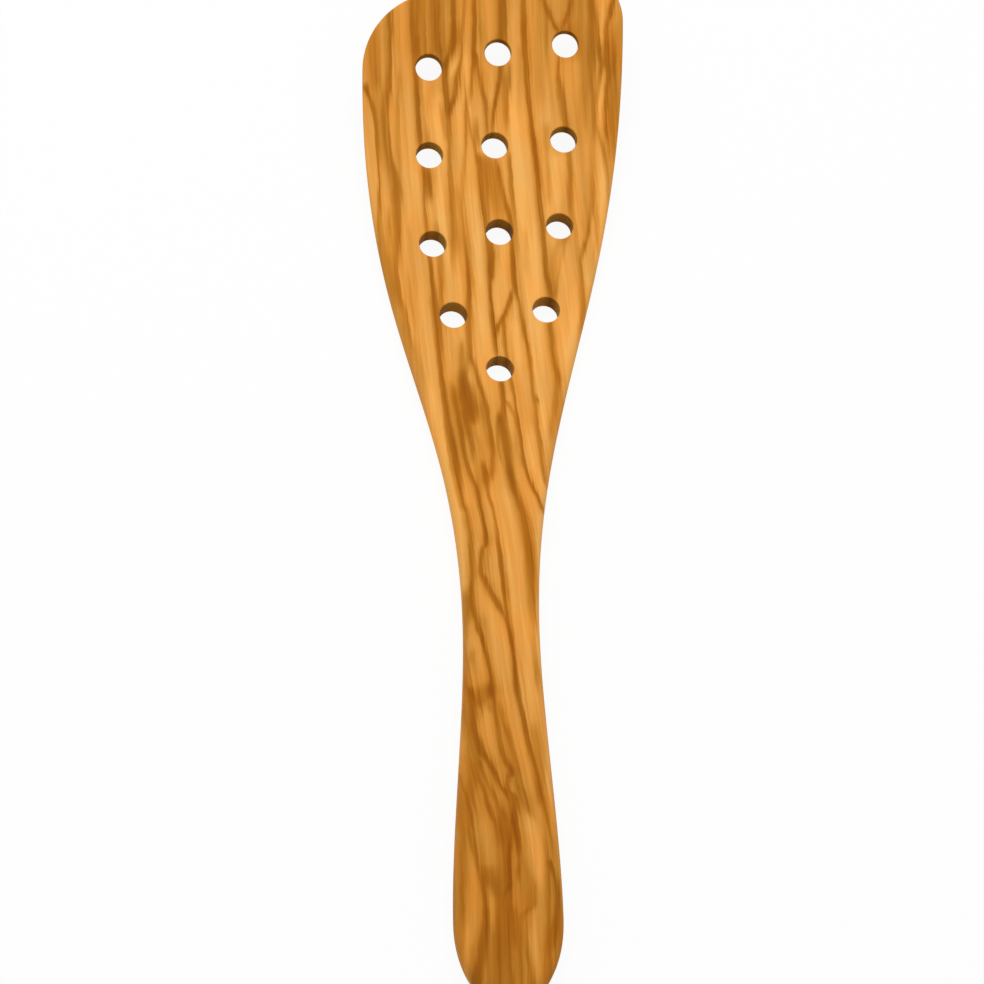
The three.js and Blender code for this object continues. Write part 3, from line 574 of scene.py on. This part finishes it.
        (-7, -7.9, 0.82, 2.5), (-11, -7, 0.85, 2.8), (-15, -6.3, 0.85, 2.8), (-19, -5.6, 0.85, 2.8),
        (-23, -5.2, 0.85, 3.2), (-25.5, -5.2, 0.8, 3), (-27.5, -6.2, 0.7, 2.4), (-30, -6.7, 0.75, 2.4),
        (-33, -6.8, 0.75, 2.6), (-35, -6.7, 0.75, 2.8), (-37.5, -5.6, 0.75, 3.5), (-41, -4, 0.75, 3.6),
        (-44.5, -2.3, 0.75, 3.2), (-48, -0.9, 0.6, 2.2), (-51, 0, 0.25, 2), (-54, 0.8, 0, 2))),
    (0.5, ((38, -8.4, 0, 2.2), (33, -7.4, 0.6, 2.5), (29.5, -6.6, 0.65, 2.4), (26, -5.8, 0.65, 2.2),
        (22, -4.8, 0.65, 2.2), (17, -3.8, 0.65, 2.4), (12, -3.3, 0.65, 2.4), (7, -2.8, 0.65, 2.4),
        (2, -2.6, 0.6, 2.4), (-3, -2.8, 0.5, 2.6), (-7, -3.2, 0, 2))),
    (0.5, ((2, -5.6, 0, 2), (-1, -5.2, 0.6, 2.4), (-4, -4.6, 0.75, 3.4), (-7, -4.5, 0.65, 2.8),
        (-10, -4.2, 0.6, 2), (-14, -3.2, 0.65, 2), (-18, -2.5, 0.65, 2), (-22, -2.1, 0.65, 2.2),
        (-26, -1.7, 0.75, 2.4), (-30, -1.3, 0.8, 2.4), (-35, -0.9, 0.8, 2.4), (-40, -0.5, 0.8, 2.4),
        (-45, -0.1, 0.65, 2.1), (-50, 0.4, 0.7, 2.2), (-55, 1.05, 0.8, 2.3), (-60, 1.7, 0.8, 2.4),
        (-65, 2, 0.8, 2.8), (-70, 2.2, 0.8, 3), (-75, 3.1, 0.75, 2.6), (-80, 4.1, 0.8, 2.4),
        (-85, 5, 0.75, 2.4), (-90, 6.2, 0.75, 2.8), (-95, 7.2, 0.75, 2.8), (-100, 8.2, 0.7, 2.6),
        (-105, 9.3, 0.6, 2.2), (-111, 10.5, 0.5, 2), (-117, 11.2, 0.3, 2), (-122, 11.4, 0, 2))),
    (0.6, ((-37, -11.6, 0, 3), (-42, -11.4, 0.5, 3.6), (-47, -11.2, 0.5, 3.6), (-52, -11.6, 0.3, 3.2),
        (-56, -12, 0.25, 3), (-62, -11.8, 0.3, 3.4), (-67, -11.6, 0.5, 3.8), (-71, -10.7, 0.6, 3),
        (-77, -10, 0.75, 3), (-82, -9.6, 0.75, 3.4), (-86, -8.5, 0.85, 3.8), (-88.5, -7.7, 0.9, 4),
        (-91, -6.2, 0.8, 3), (-94, -4.6, 0.75, 2.6), (-97, -3.2, 0.75, 2.4), (-99, -2.2, 0.75, 2.4),
        (-101, -1, 0.5, 2.4), (-104, 0, 0, 2))),
    # knot in the handle and the flame under it
    (0.5, ((-56, -9.6, 0, 3), (-60, -10, 0.35, 3), (-64, -9, 0.2, 4), (-67, -8, 0.2, 5),
        (-69, -7.3, 0.4, 7), (-70.8, -7.2, 0.6, 8), (-72.2, -7.2, 0.6, 7), (-73.4, -7.6, 0.6, 5),
        (-75.4, -8.2, 0.4, 4.4), (-78, -8.6, 0.2, 3.6), (-81, -8.8, 0, 3))),
    (0.5, ((-46, -7, 0, 3), (-50, -6.6, 0.25, 3.4), (-55, -5.8, 0.15, 3), (-59, -5.2, 0, 3))),
    (0.5, ((-68.5, -10.6, 0, 1.6), (-70.5, -10.4, 0.6, 2.4), (-72.5, -9.6, 0.6, 2.6),
        (-74.5, -9.2, 0.4, 2.2), (-76.5, -9, 0, 2))),
    (0.5, ((-72, -6.2, 0, 2), (-75, -5.6, 0.3, 2.6), (-78, -5, 0, 2))),
    (0.5, ((-69, -12.6, 0, 3), (-74, -12.5, 0.4, 3.4), (-80, -11.8, 0.4, 3.2), (-86, -11.2, 0.35, 3),
        (-90, -11, 0, 3))),
    (0.5, ((-71, -3.2, 0, 2.4), (-75, -2.5, 0.35, 2.4), (-79, -1.7, 0.45, 2.4), (-83, -0.6, 0.55, 2.6),
        (-87, 0.3, 0.5, 2.6), (-91, 1.2, 0.5, 2.6), (-95, 1.8, 0.6, 2.8), (-98, 2.3, 0.65, 3.4),
        (-101, 3.4, 0.55, 4.4), (-104, 4.4, 0.5, 4), (-106.5, 5.6, 0.25, 3), (-110, 7.4, 0, 2.6))),
    (0.5, ((-78, 6.6, 0, 3), (-83, 6.8, 0.3, 3.6), (-89, 7.8, 0.3, 3.6), (-95, 8.4, 0.25, 3.6),
        (-101, 7.6, 0.4, 3), (-105, 7.6, 0, 2.4))),
    (0.5, ((-88, -6, 0, 5), (-92, -4.8, 0.2, 6), (-97, -5, 0.2, 6), (-102, -5, 0.15, 5),
        (-106, -3.6, 0.2, 5), (-110, -3, 0, 5))),
    (0.5, ((-89, -9, 0, 2), (-91.5, -8.4, 0.5, 2.2), (-94, -7.7, 0.5, 2), (-97, -6.6, 0.5, 2),
        (-100, -5.4, 0.45, 2), (-103, -4, 0.35, 2), (-106, -2.6, 0.3, 2.2), (-109, -1.2, 0, 2))),
    (0.5, ((-94, -9.4, 0, 2), (-97, -8.5, 0.4, 2.4), (-100, -7.4, 0.55, 2.8), (-103, -6.7, 0.65, 3.2),
        (-106, -5.7, 0.7, 3), (-109, -4.4, 0.6, 3), (-113, -3.6, 0.5, 3.2), (-117, -3.4, 0, 3))),
    # grip
    (0.5, ((-98, -2, 0, 4), (-104, -2, 0.3, 5), (-108, -2.2, 0.5, 6), (-114, -2.5, 0.55, 6),
        (-120, -2.8, 0.55, 5.4), (-126, -3.3, 0.6, 5.4), (-132, -3.5, 0.65, 5.6), (-138, -3.7, 0.68, 6.4),
        (-145, -3.8, 0.62, 7), (-152, -4, 0.5, 7.4), (-160, -4, 0.5, 7.4))),
    (0.5, ((-106, -0.4, 0, 1.4), (-110, -0.5, 0.5, 1.6), (-116, -0.9, 0.8, 1.8), (-121, -1.1, 0.9, 2),
        (-126, -1.1, 0.9, 2.2), (-129, -0.9, 0.6, 1.8), (-134, -1.2, 0.6, 1.8), (-140, -1.5, 0.6, 1.8),
        (-146, -1.6, 0.5, 1.8), (-153, -1.5, 0.45, 2), (-160, -1.5, 0.4, 2))),
    (0.5, ((-130, -0.1, 0, 1.8), (-134, -0.2, 0.5, 2.2), (-140, -0.2, 0.5, 2.2), (-145, -0.2, 0, 1.6))),
    (0.5, ((-145, -0.6, 0, 1), (-149, -0.6, -0.2, 1.2), (-160, -0.6, -0.2, 1.2))),
    (0.5, ((-136, 3, 0, 2), (-140, 3, 0.15, 2.2), (-144, 3.2, 0.3, 2.2), (-150, 4, 0.35, 2.4),
        (-160, 4.6, 0.4, 3))),
    (0.5, ((-124.5, -1, 0, 1.4), (-127, -1.8, 0.6, 1.5), (-130, -2.8, 0.5, 1.5), (-134, -2.6, 0.35, 1.4),
        (-138, -2.2, 0, 1.4))),
    (0.4, ((-84, -11.4, 0, 4), (-90, -11, 0.45, 6), (-95, -10.6, 0.55, 6), (-99, -11.4, 0.5, 5),
        (-104, -11.8, 0.55, 4.2), (-110, -11.8, 0.6, 3), (-115, -11.1, 0.65, 2.8), (-119, -10.2, 0.55, 2.6),
        (-123, -9.2, 0.5, 2.4), (-127, -8.4, 0.55, 2.4), (-132, -7.9, 0.6, 2.6), (-137, -8.1, 0.7, 3.2),
        (-142, -8.8, 0.75, 4), (-146, -9.4, 0.75, 4.6), (-150, -10.4, 0.7, 4.6), (-155, -10.8, 0.5, 4.4),
        (-160, -11, 0.5, 4.4))),
    (0.5, ((-74, -13.6, 0, 2.4), (-80, -13.8, -0.25, 2.6), (-88, -14.2, -0.25, 2.6), (-95, -14, 0.15, 4),
        (-103, -13.5, 0.3, 4), (-110, -13.8, 0.3, 3.6), (-116, -13.8, 0.45, 3.6), (-124, -13.8, 0.5, 3.4),
        (-132, -13.8, 0.45, 3.4), (-140, -13.6, 0, 3))),
    (0.5, ((-119.4, -6.4, 0, 5), (-122, -6.4, 0.45, 6), (-125, -6, 0.6, 6), (-128, -4.6, 0.45, 4.6),
        (-132, -3.6, 0, 3))),
    (0.6, ((-112, 1.8, 0, 3), (-117, 2.6, 0.12, 3), (-122, 4, 0.22, 3), (-127, 5.2, 0.4, 3.4),
        (-131, 5.2, 0.45, 3.6), (-135, 2.2, 0.25, 3.6), (-142, 1.3, 0.3, 3.6), (-150, 1.4, 0.3, 4.4),
        (-160, 1.6, 0.35, 5))),
    (0.5, ((-118, 9.8, 0, 1.6), (-119.5, 10, 0.7, 2), (-122, 10.9, 0.65, 2.4), (-126, 11.8, 0.6, 2.4),
        (-130, 12, 0.55, 2.4), (-135, 11.4, 0.6, 3), (-139, 10.6, 0.7, 3.8), (-143, 10, 0.55, 3.4),
        (-146, 9.6, 0.3, 2.4), (-149, 10, 0.35, 2), (-153, 9.6, 0.1, 2), (-158, 9, 0, 2))),
    (0.5, ((-104, 8.2, 0, 2.4), (-110, 8.8, 0.15, 2.2), (-118, 9.3, 0.32, 2.2), (-126, 9.4, 0.4, 2.4),
        (-134, 9.4, 0.45, 2.4), (-142, 8.8, 0.4, 2.4), (-150, 8, 0.15, 2.4), (-156, 7.6, 0, 2))),
    (0.5, ((-110, -13, 0, 2), (-118, -12.4, -0.15, 2.4), (-126, -11.4, -0.15, 2.6),
        (-134, -11.4, -0.3, 2.8), (-140, -12, -0.35, 3.4), (-146, -13.2, -0.35, 3.4), (-150, -13, -0.3, 3),
        (-154, -12.6, -0.2, 3), (-158, -12, 0, 3))),
    (0.5, ((-106, -8.2, 0, 3), (-110, -8.2, -0.12, 3.4), (-115, -7.4, -0.1, 4), (-119, -7, 0, 4))),
    (0.5, ((-127.5, -6, 0, 1.6), (-130.5, -6, -0.35, 2.4), (-136, -5.9, -0.4, 2), (-140.5, -6, 0, 1.6))),
    (0.5, ((-104, 5.6, 0, 4), (-108, 5.4, -0.35, 5.6), (-113, 6, -0.45, 5.6), (-118, 6.5, -0.5, 5),
        (-124, 6.8, -0.4, 3.8), (-130, 6.6, -0.05, 3), (-135, 5.4, -0.3, 3), (-141, 5, -0.5, 3.4),
        (-147, 5.6, -0.4, 3.4), (-152, 6.4, -0.25, 3.4), (-160, 6.8, -0.2, 3.4))),
)


def feed(tree, socket, value):
    """Link a socket to a node's output, or set it where a plain value is given."""
    if isinstance(value, bpy.types.NodeSocket):
        tree.links.new(value, socket)
    else:
        socket.default_value = value


def add_node(tree, kind, inputs=None, **settings):
    """A node with its settings made and its inputs fed."""
    made = tree.nodes.new(kind)
    for name, value in settings.items():
        setattr(made, name, value)
    for name, value in (inputs or {}).items():
        feed(tree, made.inputs[name], value)
    return made


def maths(tree, operation, *values):
    """The result of a Math node."""
    made = add_node(tree, "ShaderNodeMath", operation=operation)
    for slot, value in enumerate(values):
        feed(tree, made.inputs[slot], value)
    return made.outputs[0]


def smooth_step(tree, value, start, end):
    """0 at start, 1 at end and smooth between them."""
    inputs = {"Value": value, "From Min": start, "From Max": end}
    made = add_node(tree, "ShaderNodeMapRange", inputs, interpolation_type="SMOOTHSTEP")
    return made.outputs["Result"]


def draw_curve(curve, points):
    """Put the points on one curve of a curve node, in rising order."""
    rising = sorted(points)
    curve.points[0].location = rising[0]
    curve.points[-1].location = rising[-1]
    for x, y in rising[1:-1]:
        curve.points.new(x, y)
    for point in curve.points:
        point.handle_type = "AUTO_CLAMPED"


def set_range(mapping, points):
    """Let a curve node run over just the stretch that its points cover, and stay level beyond it."""
    mapping.use_clip = False
    mapping.extend = "HORIZONTAL"
    mapping.clip_min_x = min(point[0] for point in points)
    mapping.clip_max_x = max(point[0] for point in points)


def profile(tree, value, points):
    """A smooth curve through the given points."""
    made = add_node(tree, "ShaderNodeFloatCurve", {"Value": value})
    set_range(made.mapping, points)
    draw_curve(made.mapping.curves[0], points)
    made.mapping.update()
    return made.outputs[0]


def stretched_noise(tree, position, stretch, detail):
    """Noise drawn out along the wood; stretch gives its waves for each millimetre across, along and down."""
    scaled = add_node(tree, "ShaderNodeVectorMath", {0: position, 1: stretch}, operation="MULTIPLY")
    inputs = {"Vector": scaled.outputs[0], "Scale": 1, "Detail": detail}
    return add_node(tree, "ShaderNodeTexNoise", inputs, noise_dimensions="3D").outputs["Fac"]


def swayed(tree, value, noise, sway):
    """A value moved up and down by a noise, whose middle is a half."""
    return maths(tree, "MULTIPLY_ADD", maths(tree, "SUBTRACT", noise, 0.5), sway, value)


def mix_colours(tree, how, factor, first, second):
    """The result of a Mix node on two colours, whose sockets come after those for numbers and vectors."""
    made = add_node(tree, "ShaderNodeMix", data_type="RGBA", blend_type=how)
    for slot, value in ((0, factor), (6, first), (7, second)):
        feed(tree, made.inputs[slot], value)
    return made.outputs[2]


# Half of a line is a crisp core and half a soft shade beside it, with these ends in reaches; the least gap
# between two lines of one track is in millimetres
LINE_CORE = (0.9, 0.2)
LINE_SHADE = 2.4
LINE_GAP = 1
# Noises of the wood: waves for each millimetre across, along and down, then the detail in the waves
WOBBLE_NOISE = ((0.5, 0.2, 0.5), 2)
BAND_NOISE = ((0.45, 0.02, 0.2), 3)
FIBRE_NOISE = ((1.3, 0.035, 0.7), 4)
PATCH_NOISE = ((0.16, 0.05, 0.16), 3)
PORE_NOISE = ((3.4, 0.14, 1.7), 2)
# How far the wood wobbles a line and the fibres draw it out, in millimetres, and how much bands and fibres
# lighten and darken the wood
WOBBLE = 0.6
FEATHER = 2
BAND_SHADE = 0.6
FIBRE_SHADE = 0.4


def growth_line_group():
    """Shade one growth line into the wood: a dark line, sharp or soft on either side."""
    group = bpy.data.node_groups.new("growth_line", "ShaderNodeTree")
    for name in ("Light", "Across", "Lean"):
        group.interface.new_socket(name, in_out="INPUT", socket_type="NodeSocketFloat")
    group.interface.new_socket("Line", in_out="INPUT", socket_type="NodeSocketVector")
    group.interface.new_socket("Light", in_out="OUTPUT", socket_type="NodeSocketFloat")
    given = group.nodes.new("NodeGroupInput").outputs
    line = add_node(group, "ShaderNodeSeparateXYZ", {"Vector": given["Line"]}).outputs
    beside = maths(group, "SUBTRACT", given["Across"], line["X"])
    left = maths(group, "MULTIPLY", line["Z"], given["Lean"])
    right = maths(group, "SUBTRACT", line["Z"], left)
    far_left = maths(group, "DIVIDE", beside, maths(group, "MULTIPLY", left, -1))
    far_right = maths(group, "DIVIDE", beside, right)
    far = maths(group, "MAXIMUM", far_left, far_right)
    core = smooth_step(group, far, *LINE_CORE)
    shade = maths(group, "POWER", smooth_step(group, far, LINE_SHADE, 0), 2)
    near = maths(group, "MULTIPLY", maths(group, "ADD", core, shade), 0.5)
    mask = maths(group, "MULTIPLY", near, line["Y"])
    shaded = maths(group, "MULTIPLY", given["Light"], maths(group, "SUBTRACT", 1, mask))
    result = group.nodes.new("NodeGroupOutput")
    group.links.new(shaded, result.inputs["Light"])
    return group


wood = bpy.data.materials.new("olive_wood_oiled")
wood.use_nodes = True
tree = wood.node_tree
tree.nodes.clear()
coordinates = add_node(tree, "ShaderNodeTexCoord").outputs
inputs = {0: coordinates["Object"], 1: (MILLIMETRES,) * 3}
position = add_node(tree, "ShaderNodeVectorMath", inputs, operation="MULTIPLY").outputs[0]
spot = add_node(tree, "ShaderNodeSeparateXYZ", {"Vector": position}).outputs

# Under the top face and its rounded edges the grain moves aside and along with the depth
TOP_STEPS = 16
top_points = []
for step in range(TOP_STEPS + 1):
    place = LENGTH * step / TOP_STEPS
    top = curled(0, place, thickness_at(place))
    top_points.append((top.y * MILLIMETRES, top.z * MILLIMETRES))
depth = maths(tree, "SUBTRACT", profile(tree, spot["Y"], top_points), spot["Z"])
depth = maths(tree, "MAXIMUM", maths(tree, "SUBTRACT", depth, EDGE_RADIUS * MILLIMETRES), 0)
wobble = stretched_noise(tree, position, *WOBBLE_NOISE)
across = maths(tree, "MULTIPLY_ADD", depth, GRAIN_SLANT, spot["X"])
across = swayed(tree, across, wobble, WOBBLE)
along = maths(tree, "MULTIPLY_ADD", depth, GRAIN_DRIFT, spot["Y"])
lengthways = add_node(tree, "ShaderNodeCombineXYZ", {"X": along, "Y": along, "Z": along}).outputs[0]

# Fine grain follows the course of the lines and feathers them
beside_course = maths(tree, "SUBTRACT", across, profile(tree, along, GRAIN_COURSE))
grain = add_node(tree, "ShaderNodeCombineXYZ", {"X": beside_course, "Y": along, "Z": depth}).outputs[0]
bands = stretched_noise(tree, grain, *BAND_NOISE)
fibres = stretched_noise(tree, grain, *FIBRE_NOISE)
across = swayed(tree, across, fibres, FEATHER)

# The paleness along the wood is partly its own tone and partly painted shade towards the butt and the tip
light = profile(tree, along, PALENESS_AND_SHADE)
growth_line = growth_line_group()
# Lines of one lean that follow one another down the wood share a curve node
tracks = []
for lean, points in sorted(GROWTH_LINES, key=lambda line: line[1][0][0], reverse=True):
    free = [track for track in tracks if track[0] == lean and track[1][-1][0] > points[0][0] + LINE_GAP]
    if free:
        free[0][1].extend(points)
    else:
        tracks.append((lean, list(points)))
for lean, points in tracks:
    curves = add_node(tree, "ShaderNodeVectorCurve", {"Vector": lengthways})
    set_range(curves.mapping, points)
    for channel in range(3):
        draw_curve(curves.mapping.curves[channel], [(point[0], point[channel + 1]) for point in points])
    curves.mapping.update()
    line = add_node(tree, "ShaderNodeGroup", node_tree=growth_line)
    for name, value in (("Light", light), ("Across", across), ("Lean", lean), ("Line", curves.outputs[0])):
        feed(tree, line.inputs[name], value)
    light = line.outputs["Light"]

light = swayed(tree, light, bands, BAND_SHADE)
light = swayed(tree, light, fibres, FIBRE_SHADE)
tones = add_node(tree, "ShaderNodeValToRGB", {"Fac": light})
stops = tones.color_ramp.elements
stops[0].position, stops[0].color = WOOD_TONES[0]
stops[1].position, stops[1].color = WOOD_TONES[-1]
for place, colour in WOOD_TONES[1:-1]:
    stops.new(place).color = colour

# Patches of the wood are redder or yellower
REDDER = (1.04, 0.975, 0.86, 1)
YELLOWER = (0.96, 1.02, 1.12, 1)
PATCH_ENDS = (0.3, 0.7)
patches = stretched_noise(tree, grain, *PATCH_NOISE)
warmth = mix_colours(tree, "MIX", smooth_step(tree, patches, *PATCH_ENDS), YELLOWER, REDDER)
colour = mix_colours(tree, "MULTIPLY", 1, tones.outputs["Color"], warmth)
# The drilled walls are darkened: partly dark end grain and partly painted shade inside the holes
END_GRAIN_AND_SHADE_TINT = (0.645, 0.7, 0.35, 1)
# Painted shade and end grain: the drilled walls are multiplied by a dark tint
wall = add_node(tree, "ShaderNodeAttribute", attribute_name="drilled").outputs["Fac"]
colour = mix_colours(tree, "MULTIPLY", wall, colour, END_GRAIN_AND_SHADE_TINT)

# Satin oil finish over open pores, rougher where a fibre is pale
ROUGHNESS = 0.5
FIBRE_ROUGHNESS = 0.16
GLOSS = 0.04
PORE_DEPTH = 0.0002
PORE_STRENGTH = 0.15
pores = stretched_noise(tree, grain, *PORE_NOISE)
roughness = maths(tree, "MULTIPLY_ADD", fibres, FIBRE_ROUGHNESS, ROUGHNESS)
inputs = {"Strength": PORE_STRENGTH, "Distance": PORE_DEPTH, "Height": pores}
bump = add_node(tree, "ShaderNodeBump", inputs).outputs[0]
inputs = {"Base Color": colour, "Roughness": roughness, "Specular IOR Level": GLOSS, "Normal": bump}
surface = add_node(tree, "ShaderNodeBsdfPrincipled", inputs)
add_node(tree, "ShaderNodeOutputMaterial", {"Surface": surface.outputs[0]})

spatula.data.materials.clear()
spatula.data.materials.append(wood)
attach(spatula, "root")
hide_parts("spatula")


# The floor: a plain, matt white table top. The spatula lies loose on it, with its flat back down, and drops
# a faint soft shadow. The floor shows as white, as in a picture on a white ground.
FLOOR_SIZE = 4
FLOOR_CLEARANCE = 0.0002
FLOOR_COLOUR = (0.9, 0.9, 0.9, 1)
WHITE = (1, 1, 1, 1)
FLOOR_SHARE_LIT = 0.93


def seen(tree):
    """1 where a ray shows the surface, straight or in a reflection, and 0 where it only gathers light."""
    rays = add_node(tree, "ShaderNodeLightPath").outputs
    shown = maths(tree, "MAXIMUM", rays["Is Camera Ray"], rays["Is Glossy Ray"])
    return maths(tree, "MAXIMUM", shown, rays["Is Transmission Ray"])


bpy.ops.object.select_all(action="DESELECT")
bpy.ops.mesh.primitive_plane_add(size=FLOOR_SIZE, location=(0, 0, -FLOOR_CLEARANCE))
floor = bpy.context.object
floor.name = "floor"
white = bpy.data.materials.new("white_table")
white.use_nodes = True
tree = white.node_tree
tree.nodes.clear()
matt = add_node(tree, "ShaderNodeBsdfDiffuse", {"Color": FLOOR_COLOUR})
bright = add_node(tree, "ShaderNodeEmission", {"Color": WHITE, "Strength": 1})
shown = add_node(tree, "ShaderNodeMixShader", {"Fac": maths(tree, "MULTIPLY", seen(tree), FLOOR_SHARE_LIT)})
tree.links.new(matt.outputs[0], shown.inputs[1])
tree.links.new(bright.outputs[0], shown.inputs[2])
add_node(tree, "ShaderNodeOutputMaterial", {"Surface": shown.outputs[0]})
floor.data.materials.append(white)


# The light: a soft box a metre wide hangs over the blade's end, a little to the left, and an even white room
# stands round it. The room shows brighter than it lights, so the ground is white and the wood keeps its tone.
KEY_PLACE = Vector((-0.12, 0.5, 1.15))
KEY_SIZE = 1.0
KEY_WATTS = 11
ROOM_STRENGTH = 0.46
key = bpy.data.lights.new("soft_box", "AREA")
key.size = KEY_SIZE
key.energy = KEY_WATTS
key_object = bpy.data.objects.new("soft_box", key)
bpy.context.scene.collection.objects.link(key_object)
key_object.location = KEY_PLACE
key_object.rotation_euler = (-KEY_PLACE).to_track_quat("-Z", "Y").to_euler()
room = bpy.data.worlds.new("white_room")
bpy.context.scene.world = room
room.use_nodes = True
tree = room.node_tree
tree.nodes.clear()
strength = maths(tree, "MULTIPLY_ADD", seen(tree), 1 - ROOM_STRENGTH, ROOM_STRENGTH)
walls = add_node(tree, "ShaderNodeBackground", {"Color": WHITE, "Strength": strength})
add_node(tree, "ShaderNodeOutputWorld", {"Surface": walls.outputs[0]})


# The camera: a long lens on a stand, about a metre off. It looks down on the spatula from over the butt's
# end and a little from the left, and is framed a little closer than the spatula is long.
PITCH = radians(23.19)
SWING = radians(6.03)
ROLL = radians(-1.42)
DISTANCE = 0.962
TARGET = Vector((-0.0026, -0.0074, 0.005))
LENS = 122.6
backward = Vector((-sin(SWING), -cos(SWING) * sin(PITCH), cos(SWING) * cos(PITCH)))
level = (-backward).cross(Vector((0, 1, 0))).normalized()
upright = level.cross(-backward)
rightward = cos(ROLL) * level + sin(ROLL) * upright
upward = cos(ROLL) * upright - sin(ROLL) * level
lens = bpy.data.cameras.new("camera")
lens.lens = LENS
camera = bpy.data.objects.new("camera", lens)
bpy.context.scene.collection.objects.link(camera)
turn = Matrix((rightward, upward, backward)).transposed().to_4x4()
camera.matrix_world = Matrix.Translation(TARGET + DISTANCE * backward) @ turn
bpy.context.scene.camera = camera
bpy.context.scene.view_settings.view_transform = "Standard"
